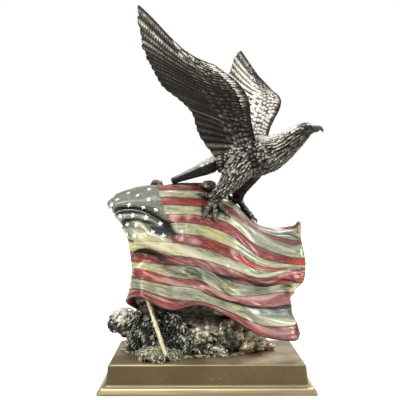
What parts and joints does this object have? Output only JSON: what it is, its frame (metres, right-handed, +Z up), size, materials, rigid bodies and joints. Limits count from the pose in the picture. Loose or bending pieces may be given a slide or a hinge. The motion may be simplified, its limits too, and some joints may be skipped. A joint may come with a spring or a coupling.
{
  "type": "eagle statue",
  "caption": "Cast eagle with raised wings landing on a striped flag draped over a rocky outcrop, on a stepped rectangular plinth.",
  "frame": {"origin": "centre of the plinth's underside", "axes": "+X towards the side the eagle's head is on, +Y towards the back, +Z up; the front is at -Y"},
  "size_m": [0.1975, 0.1492, 0.3258],
  "materials": {
    "plinth": "brushed antique bronze with worn bright edges",
    "rock": "antique bronze, dark in the hollows, bright on the high points",
    "flag": "hand-painted satin lacquer over a metal finish",
    "flagstaff": "pale worn bronze",
    "eagle": "antique pewter, dark in the hollows, silver on the high points"
  },
  "bodies": {
    "root": {"plinth": "plinth", "rock": "rock", "flag": "flag", "flagstaff": "flagstaff", "eagle": "eagle"}
  },
  "joints": []
}
